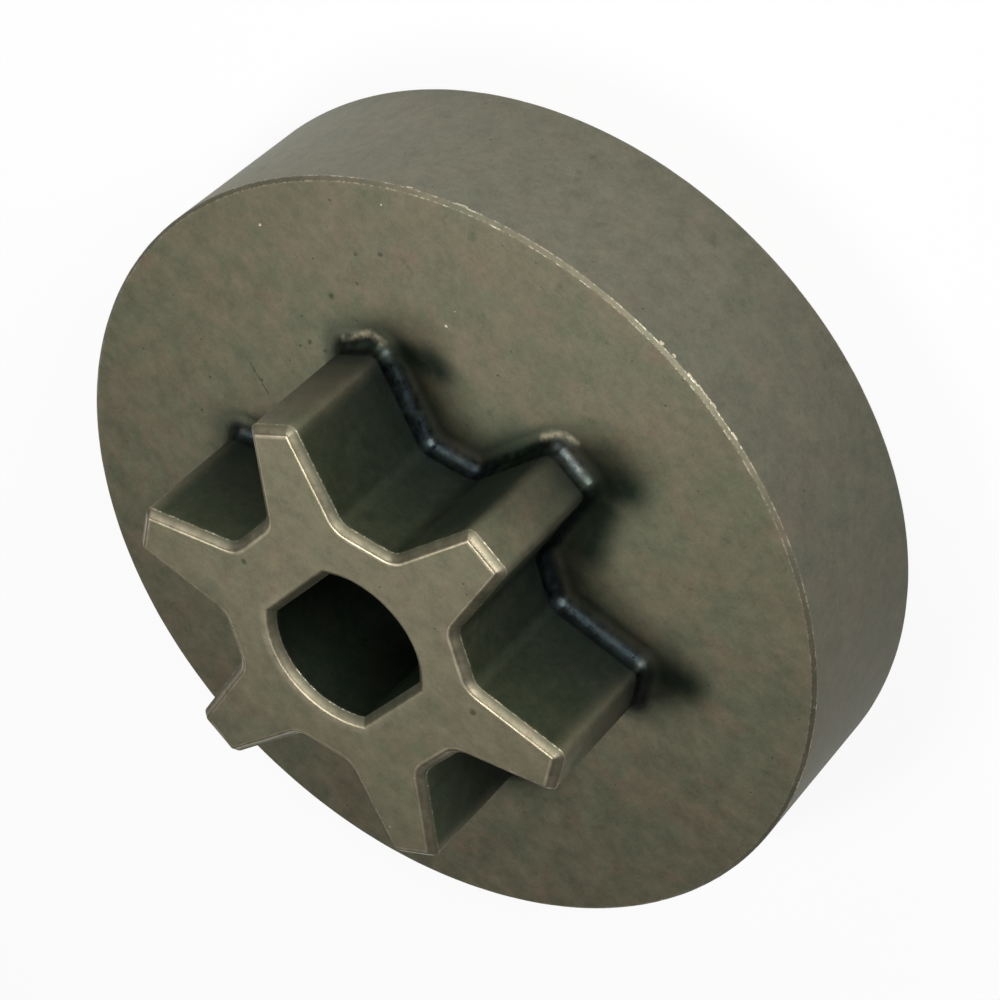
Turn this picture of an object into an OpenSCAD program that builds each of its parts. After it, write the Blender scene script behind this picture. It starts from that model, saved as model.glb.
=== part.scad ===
// Chain saw drive sprocket
// A thick drum carries a toothed star on its face, and a bore with two flats runs through both.
// It is pressed and sintered from steel powder in one piece, so the walls have no draft.
// Axis along Z, star up, origin at the centre of the drum's back face.

/* [Drum] */
// Outside diameter, the surface that a brake band grips
drum_d = 51.2; // [46:0.1:64]
// Height from the back face to the face that carries the star
drum_h = 12; // [9:0.5:18]
// Thickness of the rim wall
rim_t = 4; // [3:0.25:5]
// Thickness of the web between the rim and the hub
web_t = 4; // [3:0.25:6]
// Diameter of the hub inside the hollow back
hub_d = 20; // [16:0.5:24]
// Radius in the corners of the hollow
hollow_fillet = 1; // [0.5:0.1:1.5]
// Edge break round the front of the rim
front_break = 0.22; // [0.2:0.02:0.8]
// Edge break round the back of the rim and the hub
back_break = 0.2; // [0.2:0.05:0.8]

/* [Star] */
// Number of teeth, one for each drive link that the star holds
teeth = 6; // [6:1:7]
// Height above the drum's face
star_h = 9.8; // [6:0.2:14]
// Distance across two opposite tooth ends
star_d = 29.6; // [27:0.2:34]
// Width of a tooth's flat end, before its corners are rounded
tip_w = 3.2; // [2.4:0.1:4]
// Distance across two opposite gap floors
root_d = 17.4; // [16:0.2:20]
// Width of a gap's flat floor, before its corners are rounded
root_w = 3.6; // [3:0.1:4.4]
// Radius of the corners at a tooth's end
tip_round = 0.6; // [0.6:0.05:0.9]
// Radius of the corners at a gap's floor
root_round = 1.2; // [1.1:0.05:1.8]
// Chamfer round the front of the star
star_chamfer = 0.46; // [0.2:0.02:0.48]
// Radius of the hollow corner where the star stands on the drum
foot_round = 1.05; // [0.6:0.05:1.1]

/* [Bore] */
// Diameter of the round sides of the bore
bore_d = 10; // [8.5:0.1:12]
// Distance across the two flats of the bore
bore_flats = 8.1; // [7:0.1:9.8]
// Chamfer at both mouths of the bore
bore_chamfer = 0.45; // [0.2:0.05:0.8]

/* [Hidden] */
$fn = 96;
// How far each arc runs past the two faces that it joins, so that it crosses them at a clear angle
bite = 0.015;
// Angle by which the arc at a gap's floor stops short, inside the faces that it joins
lap_a = 4;
// Radius left open in the middle of a tooth's corner post, which the core fills
post_bore = 0.05;
// How far the star reaches down into the web
star_sink = 1;
// Extra length of a cutting tool past the face that it leaves
clear = 1;
steel = [0.37, 0.36, 0.32];

drum_r = drum_d / 2;
total_h = drum_h + star_h;
hollow_h = drum_h - web_t;
hollow_r = drum_r - rim_t;
hub_r = hub_d / 2;
tip_r = star_d / 2;
root_r = root_d / 2;
// Angle from the middle of a gap to the middle of the next tooth
half_pitch = 180 / teeth;
// Depths below the star's outline: of the strip that the profile makes, and of the core's edge inside that strip
edge_w = tip_round - post_bore;
core_in = (edge_w + star_chamfer) / 2;
foot_c = foot_round - bite;

// Corners of one flank, with the middle of its gap along X: at the gap's floor, and at the tooth's end
flank_foot = [root_r, root_w / 2];
flank_tip = turned([tip_r, -tip_w / 2], half_pitch);
flank_a = atan2(flank_tip.y - flank_foot.y, flank_tip.x - flank_foot.x);
flank_u = [cos(flank_a), sin(flank_a)];
flank_n = [sin(flank_a), -cos(flank_a)];
// Angles that the outline turns through at the two corners, and the lengths that the rounding takes
root_turn = 90 - flank_a;
tip_turn = half_pitch + 90 - flank_a;
root_cut = root_round * tan(root_turn / 2);
tip_cut = tip_round * tan(tip_turn / 2);
flank_start = flank_foot + root_cut * flank_u;
flank_end = flank_tip - tip_cut * flank_u;
root_centre = flank_start + root_round * flank_n;
tip_centre = flank_end - tip_round * flank_n;

// A point turned about the origin
function turned(p, a) = [p.x * cos(a) - p.y * sin(a), p.x * sin(a) + p.y * cos(a)];

// A point on the other side of the gap's middle line
function across(p) = [p.x, -p.y];

// The star's side in section: outward along X, up along Y, with the chamfer and the foot
module side_profile() {
  polygon([
    [-edge_w, -star_sink],
    [0, -star_sink],
    [0, star_h - star_chamfer],
    [-star_chamfer, star_h],
    [-edge_w, star_h]
  ]);
  difference() {
    translate([0, -star_sink]) square([foot_c, foot_c + star_sink]);
    translate([foot_c, foot_c]) circle(r = foot_round);
  }
}

// The profile along a straight stretch that starts at p and runs at angle a, with the open side on its right.
// lap is how much longer it is at its start, and end_lap at its end.
module straight_edge(p, a, length, lap = 0, end_lap = 0) {
  translate([p.x, p.y, 0]) rotate([90, 0, a + 90]) mirror([1, 0, 0]) translate([0, 0, -lap])
    linear_extrude(height = length + lap + end_lap) side_profile();
}

// A round post at a tooth's corner
module tip_corner() {
  translate([tip_centre.x, tip_centre.y, 0])
    rotate_extrude() translate([tip_round + bite, 0]) side_profile();
}

// The hollow round at a corner of the gap's floor
module root_corner() {
  translate([root_centre.x, root_centre.y, 0])
    rotate_extrude(angle = root_turn - 2 * lap_a, start = flank_a + 90 + lap_a)
      translate([root_round + bite, 0]) mirror([1, 0]) side_profile();
}

// One side of a gap, from the floor to the tooth's end
module half_gap_edge() {
  root_corner();
  straight_edge(flank_start, flank_a, norm(flank_end - flank_start), lap = root_cut / 2);
  tip_corner();
}

// The edge round one gap, from one tooth's end to the next
module gap_edge() {
  half_gap_edge();
  mirror([0, 1, 0]) half_gap_edge();
  straight_edge([root_r, root_cut - root_w / 2], 90, root_w - 2 * root_cut, root_cut / 2, root_cut / 2);
}

module tooth_end() {
  rotate([0, 0, half_pitch]) straight_edge([tip_r, tip_cut - tip_w / 2], 90, tip_w - 2 * tip_cut);
}

// The inside of the star, up to the edge strip
module star_core() {
  floor_in = [root_r - core_in, root_w / 2 - root_cut];
  flank_in = flank_start - core_in * flank_n;
  tip_in = tip_centre + (1 - core_in / tip_round) * (flank_tip - tip_centre);
  corners = [across(tip_in), across(flank_in), across(floor_in), floor_in, flank_in, tip_in];
  translate([0, 0, -star_sink]) linear_extrude(height = star_h + star_sink)
    polygon([for (k = [0 : teeth - 1]) for (p = corners) turned(p, 2 * half_pitch * k)]);
}

module star() {
  translate([0, 0, drum_h]) {
    star_core();
    for (k = [0 : teeth - 1]) rotate([0, 0, 2 * half_pitch * k]) {
      gap_edge();
      tooth_end();
    }
  }
}

// The solid that a corner fillet adds, with its corner at the origin and its sides along X and Y
module corner_fill(r) {
  difference() {
    square(r);
    translate([r, r]) circle(r = r);
  }
}

// Half section of the drum: X from the axis, Y up
module drum_section() {
  difference() {
    polygon([
      [0, 0],
      [drum_r - back_break, 0],
      [drum_r, back_break],
      [drum_r, drum_h - front_break],
      [drum_r - front_break, drum_h],
      [0, drum_h]
    ]);
    polygon([
      [hub_r - back_break, 0],
      [hub_r, back_break],
      [hub_r, hollow_h],
      [hollow_r, hollow_h],
      [hollow_r, back_break],
      [hollow_r + back_break, 0],
      [hollow_r + back_break, -clear],
      [hub_r - back_break, -clear]
    ]);
  }
  translate([hub_r, hollow_h]) mirror([0, 1]) corner_fill(hollow_fillet);
  translate([hollow_r, hollow_h]) rotate(180) corner_fill(hollow_fillet);
}

module drum() {
  rotate_extrude() drum_section();
}

// The bore in plan: a circle cut off by the two flats
module bore_shape() {
  intersection() {
    circle(d = bore_d);
    square([bore_flats, bore_d + 2 * clear], center = true);
  }
}

// The chamfer at a bore mouth that opens upward at the origin: the same shape, growing by 45 degrees
module bore_mouth() {
  grow = bore_chamfer + clear;
  intersection() {
    translate([0, 0, -bore_chamfer]) cylinder(h = grow, r1 = bore_d / 2, r2 = bore_d / 2 + grow);
    rotate([90, 0, 0]) translate([0, 0, -bore_d]) linear_extrude(height = 2 * bore_d) polygon([
      [-bore_flats / 2, -bore_chamfer],
      [bore_flats / 2, -bore_chamfer],
      [bore_flats / 2 + grow, clear],
      [-bore_flats / 2 - grow, clear]
    ]);
  }
}

module shaft_bore() {
  translate([0, 0, -clear]) linear_extrude(height = total_h + 2 * clear) bore_shape();
  translate([0, 0, total_h]) bore_mouth();
  mirror([0, 0, 1]) bore_mouth();
}

module sprocket() {
  color(steel) difference() {
    union() {
      drum();
      star();
    }
    shaft_bore();
  }
}

sprocket();
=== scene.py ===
"""The looks of a chain saw drive sprocket: one piece of pressed, sintered and steam-darkened steel.

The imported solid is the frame. A finer skin of the same form stands for it in the picture, with worn
edges, small nicks and one finish over all of it. Lengths are in millimetres up to the finished mesh.
"""

import logging
import math
from dataclasses import dataclass, field
from enum import Enum
from typing import Any, Mapping, Sequence, Union

import bpy
import numpy as np
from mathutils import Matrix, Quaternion, Vector


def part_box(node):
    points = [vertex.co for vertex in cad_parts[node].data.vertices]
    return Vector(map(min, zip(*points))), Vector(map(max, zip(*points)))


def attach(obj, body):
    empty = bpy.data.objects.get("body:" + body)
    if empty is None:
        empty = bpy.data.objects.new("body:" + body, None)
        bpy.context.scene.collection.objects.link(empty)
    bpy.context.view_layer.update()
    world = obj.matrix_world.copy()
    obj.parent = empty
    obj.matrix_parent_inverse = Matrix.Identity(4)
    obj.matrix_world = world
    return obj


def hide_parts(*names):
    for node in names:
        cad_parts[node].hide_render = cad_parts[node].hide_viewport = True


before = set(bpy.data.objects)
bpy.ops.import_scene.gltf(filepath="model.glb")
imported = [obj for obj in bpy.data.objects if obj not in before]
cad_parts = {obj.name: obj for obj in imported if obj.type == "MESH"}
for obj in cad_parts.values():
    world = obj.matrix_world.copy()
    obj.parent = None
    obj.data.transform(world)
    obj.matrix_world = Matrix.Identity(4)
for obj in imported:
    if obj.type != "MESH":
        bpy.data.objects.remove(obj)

MM = 0.001
BODY = "root"
NODE = "sprocket"

Colour = tuple[float, float, float]
Point = tuple[float, float, float]
Operand = Union["Signal", float]
log = logging.getLogger("sprocket")


class Ring(Enum):
    """What a ring of the skin follows in plan."""

    BORE = "bore"
    STAR = "star"
    CIRCLE = "circle"


class Trait(Enum):
    """What the skin stores at its points, from 0 to 1, for the finish to read."""

    EDGE = "edge"
    CROWN = "crown"
    HOLLOW = "hollow"
    FLANK = "flank"
    GAP = "gap"
    WELL = "well"
    SIDE = "side"
    # the star's dark foot: dark oxide together with painted shade
    SOOT = "soot"
    NEAR = "near"
    LOW = "low"


class Blemish(Enum):
    """What a scar shows: bare metal, a dark pit, a soft painted shadow, or a crumbly pale painted highlight."""

    BARE = "bare"
    PIT = "pit"
    SMUDGE = "smudge"
    RUB = "rub"


class Signal:
    """A number that comes out of a node. Arithmetic on it adds the Math nodes."""

    def __init__(self, graph: "Graph", socket: bpy.types.NodeSocket) -> None:
        """Keeps the graph and the socket that the number comes from."""
        self.graph = graph
        self.socket = socket

    def __add__(self, other: Operand) -> "Signal":
        """self + other."""
        return self.graph.maths("ADD", self, other)

    __radd__ = __add__

    def __sub__(self, other: Operand) -> "Signal":
        """self - other."""
        return self.graph.maths("SUBTRACT", self, other)

    def __rsub__(self, other: Operand) -> "Signal":
        """other - self."""
        return self.graph.maths("SUBTRACT", other, self)

    def __mul__(self, other: Operand) -> "Signal":
        """self * other."""
        return self.graph.maths("MULTIPLY", self, other)

    __rmul__ = __mul__


@dataclass
class Graph:
    """The nodes of one material or world."""

    tree: bpy.types.NodeTree

    def node(
        self, kind: str, settings: Mapping[str, Any] = {}, values: Mapping[Any, Any] = {}
    ) -> bpy.types.Node:
        """Adds a node.

        Args:
            kind: the node's type.
            settings: its own settings, set before its sockets. "stops" fills a colour ramp.
            values: numbers, colours, signals or sockets for its inputs, by name or number.

        Returns:
            The new node.
        """
        made = self.tree.nodes.new(kind)
        for name, value in settings.items():
            if name == "stops":
                ramp = made.color_ramp
                while len(ramp.elements) < len(value):
                    ramp.elements.new(0.5)
                for element, (place, colour) in zip(ramp.elements, value):
                    element.position = place
                    element.color = (*colour, 1.0)
            else:
                setattr(made, name, value)
        for name, value in values.items():
            if isinstance(value, Signal):
                value = value.socket
            if isinstance(value, bpy.types.NodeSocket):
                self.tree.links.new(value, made.inputs[name])
            elif isinstance(value, tuple) and made.inputs[name].type == "RGBA":
                made.inputs[name].default_value = (*value, 1.0)
            else:
                made.inputs[name].default_value = value
        return made

    def maths(self, operation: str, *terms: Operand) -> Signal:
        """Applies a Math node's operation to the terms."""
        made = self.node("ShaderNodeMath", {"operation": operation}, dict(enumerate(terms)))
        return Signal(self, made.outputs[0])

    def maximum(self, first: Operand, second: Operand) -> Signal:
        """The larger of two numbers."""
        return self.maths("MAXIMUM", first, second)

    def rise(self, value: Signal, low: float, high: float) -> Signal:
        """A smooth step of value, from 0 at low to 1 at high. With low above high it falls."""
        settings = {"interpolation_type": "SMOOTHSTEP"}
        values = {"Value": value, "From Min": low, "From Max": high}
        if low > high:
            values |= {"From Min": high, "From Max": low, "To Min": 1.0, "To Max": 0.0}
        made = self.node("ShaderNodeMapRange", settings, values)
        return Signal(self, made.outputs["Result"])

    def attribute(self, name: str) -> Signal:
        """A number that the mesh stores at its points."""
        made = self.node("ShaderNodeAttribute", {"attribute_name": name})
        return Signal(self, made.outputs["Fac"])

    def place(self) -> bpy.types.NodeSocket:
        """The point on the surface, in millimetres."""
        return self.scaled(self.node("ShaderNodeTexCoord").outputs["Object"], 1 / MM)

    def vector(self, operation: str, *terms: Any) -> bpy.types.NodeSocket:
        """Applies a Vector Math node's operation, for a vector."""
        made = self.node("ShaderNodeVectorMath", {"operation": operation}, dict(enumerate(terms)))
        return made.outputs["Vector"]

    def measure(self, operation: str, *terms: Any) -> Signal:
        """Applies a Vector Math node's operation, for a number."""
        made = self.node("ShaderNodeVectorMath", {"operation": operation}, dict(enumerate(terms)))
        return Signal(self, made.outputs["Value"])

    def scaled(self, vector: bpy.types.NodeSocket, by: Operand) -> bpy.types.NodeSocket:
        """A vector or colour times a number."""
        made = self.node("ShaderNodeVectorMath", {"operation": "SCALE"}, {0: vector, "Scale": by})
        return made.outputs["Vector"]

    def noise(
        self,
        vector: bpy.types.NodeSocket,
        size: float,
        detail: float = 2.0,
        roughness: float = 0.5,
        offset: float = 0.0,
        distortion: float = 0.0,
    ) -> Signal:
        """Soft noise about 0.5.

        Args:
            vector: where it is read, in millimetres.
            size: the size of its patches, in millimetres.
            detail: how many finer layers it has.
            roughness: how strong the finer layers are.
            offset: a shift that makes this noise unlike the others, in millimetres.
            distortion: how much the patches are drawn out.

        Returns:
            The noise.
        """
        values = {
            "Vector": self.vector("ADD", vector, (offset, offset, offset)),
            "Scale": 1.0 / size,
            "Detail": detail,
            "Roughness": roughness,
            "Distortion": distortion,
        }
        return Signal(self, self.node("ShaderNodeTexNoise", {}, values).outputs[0])

    def wobbled(self, vector: bpy.types.NodeSocket, size: float, by: float) -> bpy.types.NodeSocket:
        """A vector shifted to and fro by a noise, both in millimetres."""
        noise = self.node("ShaderNodeTexNoise", {}, {"Vector": vector, "Scale": 1.0 / size, "Detail": 1.0})
        shift = self.vector("SUBTRACT", noise.outputs["Color"], (0.5, 0.5, 0.5))
        return self.vector("ADD", vector, self.scaled(shift, 2 * by))

    def specks(self, vector: bpy.types.NodeSocket, size: float, radius: float, share: float) -> Signal:
        """Scattered round specks.

        Args:
            vector: where they are read, in millimetres.
            size: the size of the cells that hold at most one each, in millimetres.
            radius: their largest radius, in cells.
            share: how many of the cells hold one.

        Returns:
            1 inside the specks.
        """
        cells = self.node("ShaderNodeTexVoronoi", {}, {"Vector": vector, "Scale": 1.0 / size})
        chance = self.channel(cells.outputs["Color"], "Red")
        grown = self.rise(chance, 1.0 - share, 1.0) * radius
        return self.rise(Signal(self, cells.outputs["Distance"]) - grown, 0.0, -0.5 * radius)

    def channel(self, colour: bpy.types.NodeSocket, name: str) -> Signal:
        """One channel of a colour: Red, Green or Blue."""
        return Signal(self, self.node("ShaderNodeSeparateColor", {}, {0: colour}).outputs[name])

    def mix(self, factor: Operand, first: Any, second: Any, blend: str = "MIX") -> bpy.types.NodeSocket:
        """Mixes two colours: all of first at factor 0, all of second at factor 1."""
        settings = {"data_type": "RGBA", "blend_type": blend, "clamp_factor": True}
        made = self.node("ShaderNodeMix", settings, {0: factor, 6: first, 7: second})
        return made.outputs[2]

    def bump(self, height: Signal, strength: float, depth: float, normal: Any = None) -> bpy.types.NodeSocket:
        """Tilts the surface by a height.

        Args:
            height: the height, 0 to 1.
            strength: how much of it shows.
            depth: what a height of 1 measures, in millimetres.
            normal: a bump that this one adds to.

        Returns:
            The tilted normal.
        """
        values = {"Strength": strength, "Distance": depth * MM, "Height": height}
        if normal is not None:
            values["Normal"] = normal
        return self.node("ShaderNodeBump", {}, values).outputs["Normal"]


@dataclass(frozen=True)
class Scar:
    """A short stroke with round ends, in millimetres: a blow, a scratch or a pore."""

    kind: Blemish
    start: Point
    end: Point
    width: float

    def away(self, g: Graph, place: bpy.types.NodeSocket) -> Signal:
        """Measures how far a point lies from the line from start to end.

        The distance is |q - l c|, with q = p - start, l the line from start to end and c = q . l / l . l,
        held between 0 and 1. A round speck has no line, and its distance is |q|.

        Args:
            g: the material's nodes.
            place: the point p, in millimetres.

        Returns:
            The distance, in widths of the stroke.
        """
        line = Vector(self.end) - Vector(self.start)
        if line.length:
            reach = g.vector("SUBTRACT", place, self.start)
            along = g.measure("DOT_PRODUCT", reach, tuple(line / line.length_squared))
            held = g.node("ShaderNodeMath", {"operation": "ADD", "use_clamp": True}, {0: along, 1: 0.0})
            foot = g.node("ShaderNodeVectorMath", {"operation": "SCALE"}, {0: tuple(line), "Scale": held.outputs[0]})
            away = g.measure("DISTANCE", reach, foot.outputs["Vector"])
        else:
            away = g.measure("DISTANCE", place, self.start)
        return away * (1 / self.width)


@dataclass(frozen=True)
class SteamedSteel:
    """The finish: a dark oxide, olive and brown in clouds, burnished and nicked where edges stand out, with painted
    shade in hollows and on one side, and a few painted highlights.
    """

    name: str = "steamed_steel"
    olive: Colour = (0.160, 0.164, 0.110)
    brown: Colour = (0.198, 0.170, 0.116)
    rust: Colour = (0.232, 0.168, 0.120)
    warm: Colour = (0.232, 0.208, 0.134)
    moss: Colour = (0.082, 0.102, 0.066)
    grey: Colour = (0.202, 0.200, 0.155)
    painted_shade: Colour = (0.085, 0.084, 0.066)
    gap_shade_green: Colour = (0.050, 0.064, 0.038)
    deep: Colour = (0.021, 0.029, 0.033)
    pit_and_painted_shade: Colour = (0.036, 0.050, 0.034)
    bore_painted_shade: Colour = (0.022, 0.034, 0.022)
    bare: Colour = (0.640, 0.570, 0.430)
    cream: Colour = (0.500, 0.440, 0.310)
    roughness: float = 0.60

    def material(self, scars: Sequence[Scar]) -> bpy.types.Material:
        """Builds the material.

        Args:
            scars: the single marks that the photograph shows.

        Returns:
            The material, which reads Object coordinates and the skin's traits.
        """
        made = bpy.data.materials.new(self.name)
        made.use_nodes = True
        made.node_tree.nodes.clear()
        g = Graph(made.node_tree)
        place = g.place()
        traits = {trait: g.attribute(trait.value) for trait in Trait}
        blotches = g.noise(place, 1.5, 4.0, 0.62, 2.0)
        grain = g.noise(place, 0.17, 2.0, 0.55, 3.0)
        bare, pits, painted_shadows, painted_glints = (self.scarred(g, place, scars, kind) for kind in Blemish)
        worn = self.worn(g, place, traits)
        smooth = g.noise(place, 0.7, 2.0, 0.6, 8.0)
        pores = g.specks(place, 0.62, 0.16, 0.22)
        colour = self.oxide(g, place, traits, blotches, grain)
        # Painted shadows: soft dark patches beside the teeth's feet and on one flank.
        colour = g.mix(painted_shadows * (0.75 + smooth * 0.5), colour, self.pit_and_painted_shade)
        colour = g.mix(g.maximum(pits * 0.65, pores * 0.6), colour, self.pit_and_painted_shade)
        # Cream on the crowns is wear; on the bore's mouth it is also a painted highlight, strongest on its +Y side.
        colour = g.mix(g.maximum(traits[Trait.CROWN] * (smooth * 1.5 - 0.02), traits[Trait.EDGE] * smooth * 0.15), colour, self.cream)
        colour = g.mix(worn, colour, self.bare)
        # Painted highlights: pale glints along the star's foot.
        colour = g.mix(painted_glints * (smooth * 2.6 - 0.8), colour, self.cream)
        colour = g.mix(bare, colour, self.bare)
        relief = grain * 0.25 + blotches - pores * 0.5
        normal = g.bump(relief, 0.5, 0.03)
        burnish = g.maximum(worn, traits[Trait.CROWN] * 0.6)
        glossy = g.rise(traits[Trait.SOOT], 0.3, 1.0) * g.rise(traits[Trait.HOLLOW], 0.35, 1.0) * (smooth * 0.8 - 0.16)
        roughness = self.roughness + (blotches - 0.5) * 0.16 - g.maximum(burnish * 0.30, glossy)
        values = {"Base Color": colour, "Metallic": 1.0, "Roughness": roughness, "Normal": normal}
        shader = g.node("ShaderNodeBsdfPrincipled", {}, values)
        g.node("ShaderNodeOutputMaterial", {}, {"Surface": shader.outputs[0]})
        return made

    def oxide(
        self, g: Graph, place: bpy.types.NodeSocket, traits: Mapping[Trait, Signal], blotches: Signal, grain: Signal
    ) -> bpy.types.NodeSocket:
        """The oxide's colour: olive and brown clouds, with painted shade: darker towards -X on the drum's side and
        towards +Y on the star's top, dark and greenish on the flanks in the gaps and on the bore, darker round the
        star's foot, and blue-black in the foot together with dark oxide.

        Args:
            g: the material's nodes.
            place: the point, in millimetres.
            traits: what the skin stores.
            blotches: the middle-sized noise.
            grain: the fine noise.

        Returns:
            The colour.
        """
        clouds = g.rise(g.noise(place, 6.0, 3.0, 0.55, 1.0, 0.5), 0.34, 0.66)
        patches = g.noise(place, 0.6, 3.0, 0.6, 5.0)
        rusty = g.rise(g.noise(place, 2.4, 3.0, 0.6, 11.0), 0.50, 0.72)
        mossy = g.rise(g.noise(place, 0.9, 4.0, 0.62, 13.0), 0.56, 0.74) * g.rise(g.noise(place, 5.0, 2.0, 0.5, 14.0), 0.35, 0.65)
        colour = g.mix(clouds * 0.5 + (blotches - 0.5) * 1.1 + 0.08, self.olive, self.brown)
        colour = g.mix(rusty * 0.42, colour, self.rust)
        # Painted shade: the drum's side turns darker towards -X.
        painted_side_shade = g.rise(g.measure("DOT_PRODUCT", place, (-1.0, -0.2, 0.0)), -22.0, 30.0)
        colour = g.mix(traits[Trait.SIDE] * 0.6, colour, g.mix(painted_side_shade, self.grey, self.painted_shade))
        colour = g.mix(mossy * 0.5, colour, self.moss)
        star_top = g.rise(traits[Trait.LOW], 0.03, 0.0)
        # Painted shade: the star's top turns darker towards +Y.
        painted_top_shade = g.rise(g.measure("DOT_PRODUCT", place, (0.0, 1.0, 0.0)), 3.0, 14.0)
        colour = g.mix(star_top * 0.3, colour, self.warm)
        colour = g.mix(star_top * painted_top_shade * 0.24, colour, self.painted_shade)
        # Painted shade in the gaps between teeth: the walls there turn dark, with a greenish oxide tint.
        colour = g.mix(traits[Trait.GAP] * (0.6 + patches * 0.6), colour, self.gap_shade_green)
        # Painted shade on the bore's wall: dark and mottled.
        colour = g.mix(traits[Trait.WELL] * (0.65 + blotches * 0.6), colour, self.bore_painted_shade)
        # Painted shade: darker on the face round the star's foot and low on the star's walls.
        close = traits[Trait.NEAR] * traits[Trait.NEAR]
        climb = g.rise(traits[Trait.LOW], 0.67, 0.87) * traits[Trait.FLANK]
        painted_halo_shade = g.maximum(close * 0.7, climb * 0.65) * (0.7 + patches * 0.5)
        colour = g.mix(painted_halo_shade, colour, self.pit_and_painted_shade)
        # The star's foot: blue-black oxide together with painted shade of the recess, fading up the walls.
        colour = g.mix(traits[Trait.SOOT] * (0.7 + patches * 0.5), colour, self.deep)
        return g.scaled(colour, 0.40 + blotches * 0.58 + patches * 0.38 + grain * 0.36)

    def worn(self, g: Graph, place: bpy.types.NodeSocket, traits: Mapping[Trait, Signal]) -> Signal:
        """Bare metal along the outer edges, broken up into specks by two noises."""
        broken = g.noise(place, 0.9, 2.0, 0.6, 6.0) * 0.7 + g.noise(place, 0.22, 2.0, 0.6, 7.0) * 0.8
        return g.rise(traits[Trait.EDGE] * broken, 0.66, 0.98) * 0.7

    def scarred(
        self, g: Graph, place: bpy.types.NodeSocket, scars: Sequence[Scar], kind: Blemish
    ) -> Signal:
        """Where the scars of one kind lie: within half a width, with soft edges made ragged by a noise."""
        ragged = g.wobbled(place, 0.25, 0.10)
        soft = {Blemish.BARE: 0.12, Blemish.PIT: 0.3, Blemish.SMUDGE: 0.5, Blemish.RUB: 0.5}[kind]
        nearest, *others = [scar.away(g, ragged) for scar in scars if scar.kind is kind]
        for away in others:
            nearest = g.maths("MINIMUM", nearest, away)
        return g.rise(nearest, 0.5 + soft, 0.5 - soft)


def turned(points: np.ndarray, angle: np.ndarray | float) -> np.ndarray:
    """Turns plan points about the origin: (x cos a - y sin a, x sin a + y cos a)."""
    x, y = points[..., 0], points[..., 1]
    return np.stack([x * np.cos(angle) - y * np.sin(angle), x * np.sin(angle) + y * np.cos(angle)], axis=-1)


def heading(angle: np.ndarray | float) -> np.ndarray:
    """The unit vector at an angle: (cos a, sin a)."""
    return np.stack([np.cos(angle), np.sin(angle)], axis=-1)


@dataclass(frozen=True)
class Star:
    """The toothed star: tapered teeth with flat ends and round corners. The middle of a gap is on X."""

    teeth: int = 6
    across_ends: float = 29.6
    end_width: float = 3.2
    across_floors: float = 17.4
    floor_width: float = 3.6
    end_corner: float = 0.6
    floor_corner: float = 1.2
    chamfer: float = 0.46
    foot: float = 1.05
    end_steps: int = 5
    end_corner_steps: int = 10
    flank_steps: int = 17
    floor_corner_steps: int = 9
    floor_steps: int = 4

    def half_gap(self) -> tuple[np.ndarray, np.ndarray]:
        """Samples the outline from the middle of a gap to the middle of the next tooth.

        Straight stretches are a + (b - a) t. Round ones are c + r (cos h, sin h) at a tooth's end and
        c - r (cos h, sin h) at the gap's floor, where h is the heading of the outward normal.

        Returns:
            The points, and the headings of their outward normals.
        """
        pitch = math.pi / self.teeth
        foot = np.array([self.across_floors / 2, self.floor_width / 2])
        end = turned(np.array([self.across_ends / 2, -self.end_width / 2]), pitch)
        slope = math.atan2(end[1] - foot[1], end[0] - foot[0])
        out = slope - math.pi / 2
        floor_cut = self.floor_corner * math.tan(-out / 2)
        end_cut = self.end_corner * math.tan((pitch - out) / 2)
        flank_start = foot + floor_cut * heading(slope)
        flank_end = end - end_cut * heading(slope)
        floor_centre = flank_start + self.floor_corner * heading(out)
        end_centre = flank_end - self.end_corner * heading(out)
        floor_start = np.array([self.across_floors / 2, 0.0])
        floor_end = foot - np.array([0.0, floor_cut])
        end_start = end_centre + self.end_corner * heading(pitch)
        end_middle = self.across_ends / 2 * heading(pitch)

        def share(steps: int) -> np.ndarray:
            """0, 1/n ... (n - 1)/n as a column."""
            return (np.arange(steps) / steps)[:, None]

        floor_heads = out * share(self.floor_corner_steps)
        end_heads = out + (pitch - out) * share(self.end_corner_steps)
        points = np.concatenate(
            [
                floor_start + (floor_end - floor_start) * share(self.floor_steps),
                floor_centre - self.floor_corner * heading(floor_heads[:, 0]),
                flank_start + (flank_end - flank_start) * share(self.flank_steps),
                end_centre + self.end_corner * heading(end_heads[:, 0]),
                end_start + (end_middle - end_start) * share(self.end_steps),
                end_middle[None],
            ]
        )
        heads = np.concatenate(
            [
                np.zeros(self.floor_steps),
                floor_heads[:, 0],
                np.full(self.flank_steps, out),
                end_heads[:, 0],
                np.full(self.end_steps + 1, pitch),
            ]
        )
        return points, heads

    def outline(self) -> tuple[np.ndarray, np.ndarray]:
        """The whole outline, counterclockwise from the middle of the tooth below X.

        Each gap is the half gap mirrored in X and run backwards, then the half gap itself.

        Returns:
            The points, and their outward unit normals.
        """
        points, heads = self.half_gap()
        points = np.concatenate([(points * [1, -1])[:0:-1], points[:-1]])
        heads = np.concatenate([-heads[:0:-1], heads[:-1]])
        turns = (2 * np.pi / self.teeth * np.arange(self.teeth))[:, None]
        return turned(points[None], turns).reshape(-1, 2), heading(heads[None] + turns).reshape(-1, 2)


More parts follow.
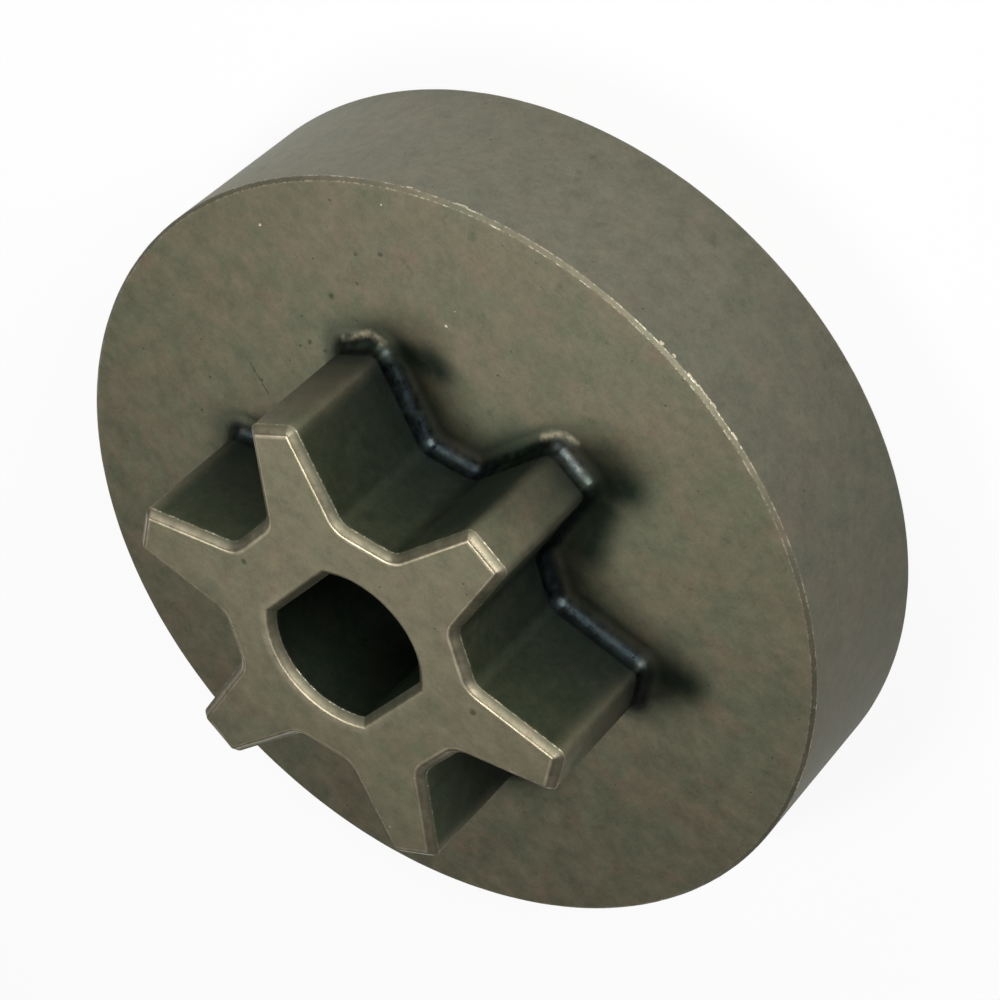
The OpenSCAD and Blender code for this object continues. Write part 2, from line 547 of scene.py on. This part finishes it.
@dataclass(frozen=True)
class Bore:
    """The bore: round, with two flats that face along X."""

    across_rounds: float = 10.0
    across_flats: float = 8.1
    chamfer: float = 0.45
    flat_share: float = 0.4

    def ring(self, grow: np.ndarray, turns: np.ndarray) -> np.ndarray:
        """The bore's outline, grown all round.

        A column within flat_share of a right angle from X lies on a flat, at x = f and y = s c, and
        any other on the round side, at r (cos p, sin p). s and p run evenly between the corners.

        Args:
            grow: how much each ring has grown.
            turns: the angle of each column.

        Returns:
            Plan points, rings by columns by 2.
        """
        radius = (self.across_rounds / 2 + grow)[:, None]
        flat = (self.across_flats / 2 + grow)[:, None]
        corner = np.arccos(flat / radius)
        half_chord = radius * np.sin(corner)
        corner_turn = self.flat_share * np.pi / 2
        side = np.where(np.cos(turns) >= 0, 1.0, -1.0)
        from_x = np.arctan2(np.sin(turns), np.abs(np.cos(turns)))
        along = from_x / corner_turn
        beyond = (np.abs(from_x) - corner_turn) / (np.pi / 2 - corner_turn)
        polar = np.sign(from_x) * (corner + (np.pi / 2 - corner) * beyond)
        on_flat = np.abs(from_x) <= corner_turn + 1e-9
        x = np.where(on_flat, flat, radius * np.cos(polar)) * side
        y = np.where(on_flat, half_chord * along, radius * np.sin(polar))
        return np.stack([x, y], axis=-1)


@dataclass(frozen=True)
class Drum:
    """The drum: a thick rim, a web and a hub flush with the rim's back."""

    rim: float = 4.0
    web: float = 4.0
    across_hub: float = 20.0
    hollow_corner: float = 1.0
    front_break: float = 0.22
    back_break: float = 0.2


@dataclass(frozen=True)
class Stretch:
    """Rings of one kind, one after another along the section, and what is stored along each."""

    kind: Ring
    reach: np.ndarray
    height: np.ndarray
    traits: Mapping[Trait, np.ndarray]


@dataclass(frozen=True)
class Corner:
    """A corner of the section: its reach from the ring's own outline or axis, its height, its radius."""

    reach: float
    height: float
    radius: float = 0.0
    trait: Trait = Trait.EDGE


@dataclass(frozen=True)
class Section:
    """Turns corners into rings: arcs at the corners, and guards beside them that keep flats flat."""

    arc_step: float = math.radians(15)
    guards: tuple[float, ...] = (0.05, 0.12, 0.3)
    fades: Mapping[Trait, float] = field(
        default_factory=lambda: {Trait.EDGE: 0.09, Trait.CROWN: 0.26, Trait.HOLLOW: 0.30}
    )
    steep: float = 0.55

    def stretch(self, kind: Ring, corners: Sequence[Corner], upright: Trait) -> Stretch:
        """Rounds a run of corners.

        An arc of radius r between directions u and v starts r tan(turn / 2) before the corner p, and its
        points are p - t u + r (u sin a + n (1 - cos a)), with n the normal on the side that it turns to.
        A corner's trait fades with the distance d from its arc as exp(-(d / fade)^2).

        Args:
            kind: what the rings follow.
            corners: the run, whose first and last corner are its ends.
            upright: the trait that marks where the section runs up or down.

        Returns:
            The rings.
        """
        spots = np.array([[c.reach, c.height] for c in corners])
        steps = np.diff(spots, axis=0)
        lengths = np.hypot(*steps.T)
        ways = steps / lengths[:, None]
        turns = ways[:-1, 0] * ways[1:, 1] - ways[:-1, 1] * ways[1:, 0]
        angles = np.arctan2(turns, (ways[:-1] * ways[1:]).sum(axis=1))
        cuts = np.concatenate([[0.0], [c.radius for c in corners[1:-1]] * np.tan(np.abs(angles) / 2), [0.0]])
        pieces = [spots[:1]]
        arcs: dict[Trait, list[np.ndarray]] = {trait: [] for trait in self.fades}
        for k in range(len(steps)):
            start = spots[k] + cuts[k] * ways[k]
            free = lengths[k] - cuts[k] - cuts[k + 1]
            near = [g for g in self.guards if g < 0.45 * free]
            lead = near if k > 0 else []
            trail = near if k < len(steps) - 1 else []
            marks = np.array([*lead, *[free - g for g in reversed(trail)]])
            pieces.append(start + marks[:, None] * ways[k])
            if k < len(angles):
                corner = corners[k + 1]
                normal = math.copysign(1.0, angles[k]) * np.array([-ways[k][1], ways[k][0]])
                count = max(2, math.ceil(abs(angles[k]) / self.arc_step))
                sweep = (np.linspace(0, abs(angles[k]), count + 1))[:, None]
                begin = spots[k + 1] - cuts[k + 1] * ways[k]
                arc = begin + corner.radius * (ways[k] * np.sin(sweep) + normal * (1 - np.cos(sweep)))
                arcs[corner.trait].append(arc)
                pieces.append(arc)
        pieces.append(spots[-1:])
        rings = np.concatenate(pieces)
        traits = {trait: self.closeness(rings, near, self.fades[trait]) for trait, near in arcs.items()}
        run = np.gradient(rings, axis=0)
        slope = np.abs(run[:, 1]) / np.hypot(*run.T)
        traits[upright] = np.clip((slope - self.steep) / (1 - self.steep), 0, 1)
        return Stretch(kind, rings[:, 0], rings[:, 1], traits)

    def closeness(self, rings: np.ndarray, arcs: Sequence[np.ndarray], fade: float) -> np.ndarray:
        """How close each ring is to the nearest of the arcs, 1 on it and 0 far away."""
        if not arcs:
            return np.zeros(len(rings))
        points = np.concatenate(arcs)
        gaps = np.hypot(*(rings[:, None] - points[None]).transpose(2, 0, 1)).min(axis=1)
        return np.exp(-((gaps / fade) ** 2))


@dataclass
class Sprocket:
    """The whole part as one closed skin, a grid of rings along the section by columns round the axis."""

    drum: Drum = field(default_factory=Drum)
    star: Star = field(default_factory=Star)
    bore: Bore = field(default_factory=Bore)
    section: Section = field(default_factory=Section)
    finish: SteamedSteel = field(default_factory=SteamedSteel)
    star_height: float = 9.8
    worn: float = 0.06
    worn_crown: float = 0.25
    lead: float = 0.6
    apron: float = 0.12
    guard: float = 0.15
    halo: float = 1.3
    mouth: tuple[float, float] = (13.7, 14.8)
    shoulder: tuple[float, float] = (13.9, 14.9)
    end_shade_share: float = 0.55
    climb: float = 0.45
    mouth_painted_highlight: float = 0.8
    ripple: float = 0.012

    def sizes(self) -> tuple[float, float]:
        """The drum's radius and the part's height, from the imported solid's box."""
        low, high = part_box(NODE)
        return min(high[0] - low[0], high[1] - low[1]) / 2 / MM, high[2] / MM

    def stretches(self) -> list[Stretch]:
        """The section, from the bottom of the bore up, out over the star and drum, and back underneath."""
        radius, top = self.sizes()
        face = top - self.star_height
        d, s, b, w = self.drum, self.star, self.bore, self.worn
        roof = face - d.web
        hub = d.across_hub / 2
        hollow = radius - d.rim
        bore = [
            Corner(b.chamfer + self.lead, 0),
            Corner(b.chamfer, 0, w),
            Corner(0, b.chamfer, w),
            Corner(0, top - b.chamfer, w),
            Corner(b.chamfer, top, self.worn_crown, Trait.CROWN),
            Corner(b.chamfer + self.lead, top),
        ]
        star = [
            Corner(-s.end_corner + 0.02, top),
            Corner(-s.chamfer, top, self.worn_crown, Trait.CROWN),
            Corner(0, top - s.chamfer, w),
            Corner(0, face, s.foot, Trait.HOLLOW),
            Corner(s.foot + self.apron, face),
        ]
        drum = [
            Corner(radius - d.front_break - self.lead, face),
            Corner(radius - d.front_break, face, w),
            Corner(radius, face - d.front_break, w),
            Corner(radius, d.back_break, w),
            Corner(radius - d.back_break, 0, w),
            Corner(hollow + d.back_break, 0, w),
            Corner(hollow, d.back_break, w),
            Corner(hollow, roof, d.hollow_corner, Trait.HOLLOW),
            Corner(hub, roof, d.hollow_corner, Trait.HOLLOW),
            Corner(hub, d.back_break, w),
            Corner(hub - d.back_break, 0, w),
            Corner(hub - d.back_break - self.lead, 0),
        ]
        return [
            self.section.stretch(Ring.BORE, bore, Trait.WELL),
            self.section.stretch(Ring.STAR, star, Trait.FLANK),
            self.section.stretch(Ring.CIRCLE, drum, Trait.SIDE),
        ]

    def rings(self, stretch: Stretch) -> np.ndarray:
        """The points of a stretch.

        A star ring is p + d n, with p the outline, n its normals and d the reach. A circle ring is
        r (cos a, sin a), and a bore ring is the bore's own outline grown by the reach.

        Args:
            stretch: the rings' kind, reach and height.

        Returns:
            Points, rings by columns by 3.
        """
        points, normals = self.star.outline()
        columns = len(points)
        turns = -np.pi / self.star.teeth + 2 * np.pi * np.arange(columns) / columns
        reach = stretch.reach[:, None, None]
        if stretch.kind is Ring.STAR:
            plan = points[None] + reach * normals[None]
        elif stretch.kind is Ring.CIRCLE:
            plan = reach * heading(turns)[None]
        else:
            plan = self.bore.ring(stretch.reach, turns)
        height = np.broadcast_to(stretch.height[:, None, None], (*plan.shape[:2], 1))
        return np.concatenate([plan, height], axis=-1)

    def bridge(self, start: np.ndarray, end: np.ndarray, count: int) -> np.ndarray:
        """Rings across a flat, between two rings.

        They are start + (end - start) t. The first and the last lie a guard's width from the two rings, and
        t runs evenly between them.

        Args:
            start: the ring before, columns by 3.
            end: the ring after.
            count: how many rings lie across.

        Returns:
            Points, count by columns by 3.
        """
        span = end - start
        inset = self.guard / np.linalg.norm(span, axis=-1, keepdims=True)
        share = np.linspace(0, 1, count)[:, None, None]
        return start[None] + span[None] * (inset[None] + (1 - 2 * inset[None]) * share)

    def skin(self) -> tuple[np.ndarray, dict[Trait, np.ndarray]]:
        """Puts the section together.

        Nearness to the foot is exp(-(d / halo)^2), with d the distance to the foot's ring in the same column.

        Returns:
            Points, rings by columns by 3, and each trait, rings by columns.
        """
        parts = self.stretches()
        grids = [self.rings(part) for part in parts]
        counts = (4, 10, 3)
        pieces: list[np.ndarray] = []
        runs: dict[Trait, list[np.ndarray]] = {trait: [] for trait in Trait}
        for k, (part, grid, count) in enumerate(zip(parts, grids, counts)):
            pieces += [grid, self.bridge(grid[-1], grids[(k + 1) % len(grids)][0], count)]
            for trait, run in runs.items():
                run += [part.traits.get(trait, np.zeros(len(grid))), np.zeros(count)]
        points = np.concatenate(pieces)
        traits = {
            trait: np.repeat(np.concatenate(run)[:, None], points.shape[1], axis=1) for trait, run in runs.items()
        }
        foot = grids[1][-1]
        # NEAR carries painted shade round the star's foot, weaker at the teeth's ends.
        inner = self.end_shade_share + (1 - self.end_shade_share) * self.in_gap(grids[1][0], *self.shoulder)
        traits[Trait.NEAR] = inner * np.exp(-((np.linalg.norm(points - foot[None], axis=-1) / self.halo) ** 2))
        traits[Trait.LOW] = np.clip((points[..., 2].max() - points[..., 2]) / self.star_height, 0, 1)
        turns = np.arctan2(grids[0][..., 1], grids[0][..., 0])
        # Painted highlight: the bore's crown, worn all round, is painted brighter towards +Y.
        traits[Trait.CROWN][: len(grids[0])] *= self.mouth_painted_highlight * np.clip(np.sin(turns), 0.1, 1)
        traits[Trait.GAP] = traits[Trait.FLANK] * self.in_gap(points, *self.mouth)
        traits[Trait.SOOT] = self.soot(points, len(grids[0]) + counts[0], parts[1])
        return points, traits

    def in_gap(self, points: np.ndarray, near: float, far: float) -> np.ndarray:
        """1 inside a tooth gap, falling smoothly to 0 from the near to the far radius."""
        share = np.clip((np.hypot(points[..., 0], points[..., 1]) - near) / (far - near), 0, 1)
        return 1 - share**2 * (3 - 2 * share)

    def soot(self, points: np.ndarray, first: int, star: Stretch) -> np.ndarray:
        """The dark foot of the star: dark oxide together with painted shade of the recess, weaker at the teeth's ends.

        It is exp(-(h / f)^2) (1 - s), with h the height above the foot's arc, f its fade and s a smooth step
        of the reach across the arc.

        Args:
            points: the grid.
            first: the first ring of the star.
            star: the star's rings.

        Returns:
            Values from 0 to 1, rings by columns.
        """
        face = star.height[-1]
        above = np.maximum(star.height - face - self.star.foot, 0)
        share = np.clip((star.reach / self.star.foot - 0.26) / 0.7, 0, 1)
        run = np.exp(-((above / self.climb) ** 2)) * (1 - share**2 * (3 - 2 * share))
        made = np.zeros(points.shape[:2])
        inner = self.in_gap(points[first], *self.shoulder)
        made[first : first + len(run)] = run[:, None] * (self.end_shade_share + (1 - self.end_shade_share) * inner)
        return made

    def normals(self, points: np.ndarray) -> np.ndarray:
        """Outward unit normals of a grid that closes both ways: (along the section) x (round the axis)."""
        along = np.roll(points, -1, axis=0) - np.roll(points, 1, axis=0)
        around = np.roll(points, -1, axis=1) - np.roll(points, 1, axis=1)
        out = np.cross(along, around)
        return out / np.linalg.norm(out, axis=-1, keepdims=True)

    def unevenness(self, points: np.ndarray) -> np.ndarray:
        """A gentle unevenness from 0 to 1: the mean of sines sin(k . p + f) in seeded directions."""
        seeds = np.random.default_rng(7)
        waves = seeds.normal(size=(14, 3)) * seeds.uniform(0.8, 4.0, size=(14, 1))
        phases = seeds.uniform(0, 2 * np.pi, size=14)
        return 0.5 + 0.5 * np.clip(np.sin(points @ waves.T + phases).mean(axis=-1) * 2.5, -1, 1)

    def on_rim(self, degrees: float, below: float = 0.1) -> Point:
        """A point on the drum's side, just below its front edge."""
        radius, top = self.sizes()
        x, y = radius * heading(math.radians(degrees))
        return float(x), float(y), top - self.star_height - below

    def scars(self) -> list[Scar]:
        """The single marks of the photograph: blows on the rim, bright specks, pores and scratches.

        Returns:
            The marks, in the part's own millimetres.
        """
        face = self.sizes()[1] - self.star_height
        top = self.sizes()[1]
        blows = [
            (-72.4, -72.7, 0.0, 0.20), (-78.4, -79.2, 0.0, 0.22), (-83.4, -83.6, 0.34, 0.22), (-85.5, -85.8, 0.36, 0.16),
            (-88.4, -93.8, 0.30, 0.11), (-97.6, -98.4, 0.26, 0.14), (-131.9, -132.4, 0.1, 0.2), (-138.3, -138.6, 0.1, 0.2),
            (-52.0, -53.4, 0.3, 0.10), (-44.5, -45.2, 0.34, 0.12), (28.0, 28.7, 0.2, 0.22), (96.0, 97.4, 0.15, 0.24),
            (171.0, 171.6, 0.2, 0.26),
        ]
        specks = [(22.02, -7.01, 0.16), (18.4, -15.75, 0.12), (10.82, -13.63, 0.17), (11.13, -14.91, 0.10)]
        pores = [
            (16.28, -13.14, 0.34), (15.84, -10.16, 0.26), (16.25, -7.83, 0.38), (16.43, -4.82, 0.16),
            (14.96, -3.92, 0.30), (15.15, -3.02, 0.20), (14.0, -4.43, 0.26), (15.01, 1.55, 0.22),
            (17.13, 5.07, 0.18), (15.9, 7.64, 0.20), (20.5, -12.8, 0.2), (17.2, -11.6, 0.22),
        ]
        dents = [(8.7, 0.9, 0.24), (8.7, -1.3, 0.2), (-10.4, 7.25, 0.14), (-11.0, 3.5, 0.12), (-11.7, 4.0, 0.12)]
        stains = [(-7.1, -5.4, 0.42), (7.6, 1.8, 0.36)]
        made = [
            Scar(Blemish.BARE, self.on_rim(start, below), self.on_rim(end, below), width)
            for start, end, below, width in blows
        ]
        for kind, height, spots in (
            (Blemish.BARE, face, specks), (Blemish.PIT, face, pores), (Blemish.BARE, top, dents), (Blemish.PIT, top, stains),
        ):
            made += [Scar(kind, (x, y, height), (x, y, height), width) for x, y, width in spots]
        # Painted shadows: soft dark patches on the face beside the teeth, and one low on a flank.
        patches = [
            (-2.1, -15.4, -2.8, -16.6, 2.2), (-13.3, -9.3, -14.2, -10.2, 2.1), (9.8, -10.8, 9.0, -10.9, 1.7),
            (13.2, -6.4, 12.3, -8.4, 1.2), (11.0, -9.6, 9.6, -10.4, 1.5), (-3.0, -14.0, -4.5, -10.9, 2.0),
        ]
        made.append(Scar(Blemish.SMUDGE, (2.2, -11.6, face + 0.8), (2.05, -12.3, face + 6.2), 3.6))
        made += [Scar(Blemish.SMUDGE, (x, y, face), (u, v, face), width) for x, y, u, v, width in patches]
        # Painted highlights: pale glints along the foot at two teeth.
        painted_glints = [
            (13.9, -6.5, 13.2, -8.4, 0.36), (13.1, -8.5, 12.2, -8.9, 0.40), (2.45, -14.0, 1.95, -15.5, 0.36),
            (1.9, -15.6, 1.1, -15.85, 0.34),
        ]
        made += [Scar(Blemish.RUB, (x, y, face + 0.08), (u, v, face + 0.05), width) for x, y, u, v, width in painted_glints]
        scratch = (16.2, 1.4, face), (14.1, 1.9, face)
        made.append(Scar(Blemish.PIT, *scratch, 0.10))
        return made

    def build(self) -> bpy.types.Object:
        """Makes the skin's mesh, with its traits stored at its points.

        Returns:
            The piece.
        """
        points, traits = self.skin()
        rings, columns = points.shape[:2]
        sunk = self.ripple * self.unevenness(points)
        points = points - self.normals(points) * sunk[..., None]
        index = np.arange(rings * columns).reshape(rings, columns)
        below = np.roll(index, -1, axis=0)
        quads = np.stack([index, below, np.roll(below, -1, axis=1), np.roll(index, -1, axis=1)], axis=-1)
        mesh = bpy.data.meshes.new("sprocket_skin")
        mesh.from_pydata(points.reshape(-1, 3) * MM, [], quads.reshape(-1, 4).tolist())
        for trait, values in traits.items():
            layer = mesh.attributes.new(trait.value, "FLOAT", "POINT")
            layer.data.foreach_set("value", values.ravel().astype(np.float32))
        mesh.shade_smooth()
        mesh.set_sharp_from_angle(angle=math.radians(30))
        piece = bpy.data.objects.new("sprocket_skin", mesh)
        bpy.context.scene.collection.objects.link(piece)
        return piece

    def dress(self, piece: bpy.types.Object) -> None:
        """Gives the piece its finish and its place on the frame."""
        piece.data.materials.append(self.finish.material(self.scars()))
        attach(piece, BODY)
        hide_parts(NODE)


@dataclass(frozen=True)
class Studio:
    """A plain pale floor and a soft sky, brightest overhead on one side. Brightness 1 is white paper's."""

    floor_side: float = 4.0
    floor_drop: float = 0.00002
    floor_colour: Colour = (0.92, 0.92, 0.92)
    floor_glow: float = 0.89
    floor_white: float = 1.0
    sky_low: float = 0.09
    sky_high: float = 0.12
    sky_way: Point = (0.62, -0.35, 0.70)

    def floor(self) -> bpy.types.Object:
        """Makes the floor, which looks white and keeps the shadow."""
        half, low = self.floor_side / 2, -self.floor_drop
        mesh = bpy.data.meshes.new("floor")
        corners = [(-half, -half, low), (half, -half, low), (half, half, low), (-half, half, low)]
        mesh.from_pydata(corners, [], [(0, 1, 2, 3)])
        made = bpy.data.materials.new("floor_paper")
        made.use_nodes = True
        made.node_tree.nodes.clear()
        g = Graph(made.node_tree)
        path = g.node("ShaderNodeLightPath")
        paper = g.node("ShaderNodeBsdfDiffuse", {}, {"Color": self.floor_colour})
        light = g.node("ShaderNodeEmission", {}, {"Color": (1.0, 1.0, 1.0), "Strength": self.floor_white})
        glow = self.seen(g, path) * self.floor_glow
        mix = g.node("ShaderNodeMixShader", {}, {0: glow, 1: paper.outputs[0], 2: light.outputs[0]})
        g.node("ShaderNodeOutputMaterial", {}, {"Surface": mix.outputs[0]})
        mesh.materials.append(made)
        floor = bpy.data.objects.new("floor", mesh)
        bpy.context.scene.collection.objects.link(floor)
        return floor

    def seen(self, g: Graph, path: bpy.types.Node) -> Signal:
        """1 where a ray shows the background: straight, and in part in a reflection or through glass."""
        bounced = Signal(g, path.outputs["Is Glossy Ray"]) + Signal(g, path.outputs["Is Transmission Ray"])
        return g.maths("MINIMUM", Signal(g, path.outputs["Is Camera Ray"]) + bounced * 0.52, 1.0)

    def world(self) -> None:
        """Sets the sky: low + (high - low) s, with s a smooth step of the direction along the sky's way."""
        world = bpy.data.worlds.new("sky")
        bpy.context.scene.world = world
        world.use_nodes = True
        world.node_tree.nodes.clear()
        g = Graph(world.node_tree)
        way = tuple(Vector(self.sky_way).normalized())
        direction = g.node("ShaderNodeTexCoord").outputs["Generated"]
        sky = self.sky_low + g.rise(g.measure("DOT_PRODUCT", direction, way), -0.6, 0.9) * (self.sky_high - self.sky_low)
        path = g.node("ShaderNodeLightPath")
        strength = g.maximum(sky, Signal(g, path.outputs["Is Camera Ray"]))
        shown = g.node("ShaderNodeBackground", {}, {"Color": (1.0, 1.0, 1.0), "Strength": strength})
        g.node("ShaderNodeOutputWorld", {}, {"Surface": shown.outputs[0]})


@dataclass(frozen=True)
class SoftBox:
    """A square soft box that faces the part."""

    name: str
    azimuth: float
    elevation: float
    distance: float
    side: float
    brightness: float
    aim: Vector = Vector((0.0, 0.0, 0.012))

    def place(self) -> bpy.types.Object:
        """Makes the lamp. Its power is pi times its brightness times its area."""
        lamp = bpy.data.lights.new(self.name, "AREA")
        lamp.shape = "SQUARE"
        lamp.size = self.side
        lamp.energy = math.pi * self.brightness * self.side**2
        made = bpy.data.objects.new(self.name, lamp)
        back = towards(self.azimuth, self.elevation)
        made.location = self.aim + back * self.distance
        made.rotation_mode = "QUATERNION"
        made.rotation_quaternion = (-back).to_track_quat("-Z", "Y")
        made.visible_camera = False
        bpy.context.scene.collection.objects.link(made)
        return made


def towards(azimuth: float, elevation: float) -> Vector:
    """The direction from the part to a viewer. Azimuth 0 looks along +Y, in degrees."""
    a, e = math.radians(azimuth), math.radians(elevation)
    return Vector((math.sin(a) * math.cos(e), -math.cos(a) * math.cos(e), math.sin(e)))


@dataclass(frozen=True)
class Viewpoint:
    """The photograph's camera. It is rolled, so that the star points down to the left."""

    azimuth: float = 6.254
    elevation: float = 42.829
    roll: float = -133.707
    distance: float = 0.18934
    lens: float = 117.155
    aim: Vector = Vector((0.000893, -0.007906, 0.012))

    def place(self) -> bpy.types.Object:
        """Makes the camera and makes it the scene's."""
        data = bpy.data.cameras.new("camera")
        data.sensor_width = 36.0
        data.lens = self.lens
        data.clip_start = 0.01
        data.clip_end = 20.0
        made = bpy.data.objects.new("camera", data)
        back = towards(self.azimuth, self.elevation)
        made.location = self.aim + back * self.distance
        made.rotation_mode = "QUATERNION"
        spin = Quaternion((0.0, 0.0, 1.0), math.radians(self.roll))
        made.rotation_quaternion = (-back).to_track_quat("-Z", "Y") @ spin
        bpy.context.scene.collection.objects.link(made)
        bpy.context.scene.camera = made
        return made


BOXES = (
    SoftBox("key", azimuth=153, elevation=74.5, distance=0.12, side=0.036, brightness=18.0),
    SoftBox("front", azimuth=0, elevation=25, distance=0.36, side=0.20, brightness=9.8),
    SoftBox("side", azimuth=61, elevation=24, distance=0.36, side=0.20, brightness=3.1),
)


def main() -> None:
    """Builds the scene: the part, the studio and the camera."""
    logging.basicConfig(level=logging.INFO, format="%(name)s: %(message)s")
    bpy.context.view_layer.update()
    bpy.context.scene.view_settings.view_transform = "Standard"
    sprocket = Sprocket()
    piece = sprocket.build()
    sprocket.dress(piece)
    log.info("%s: %d faces", piece.name, len(piece.data.polygons))
    studio = Studio()
    studio.world()
    log.info("%s placed", studio.floor().name)
    for box in BOXES:
        log.info("%s placed", box.place().name)
    log.info("%s placed", Viewpoint().place().name)


if __name__ == "__main__":
    main()
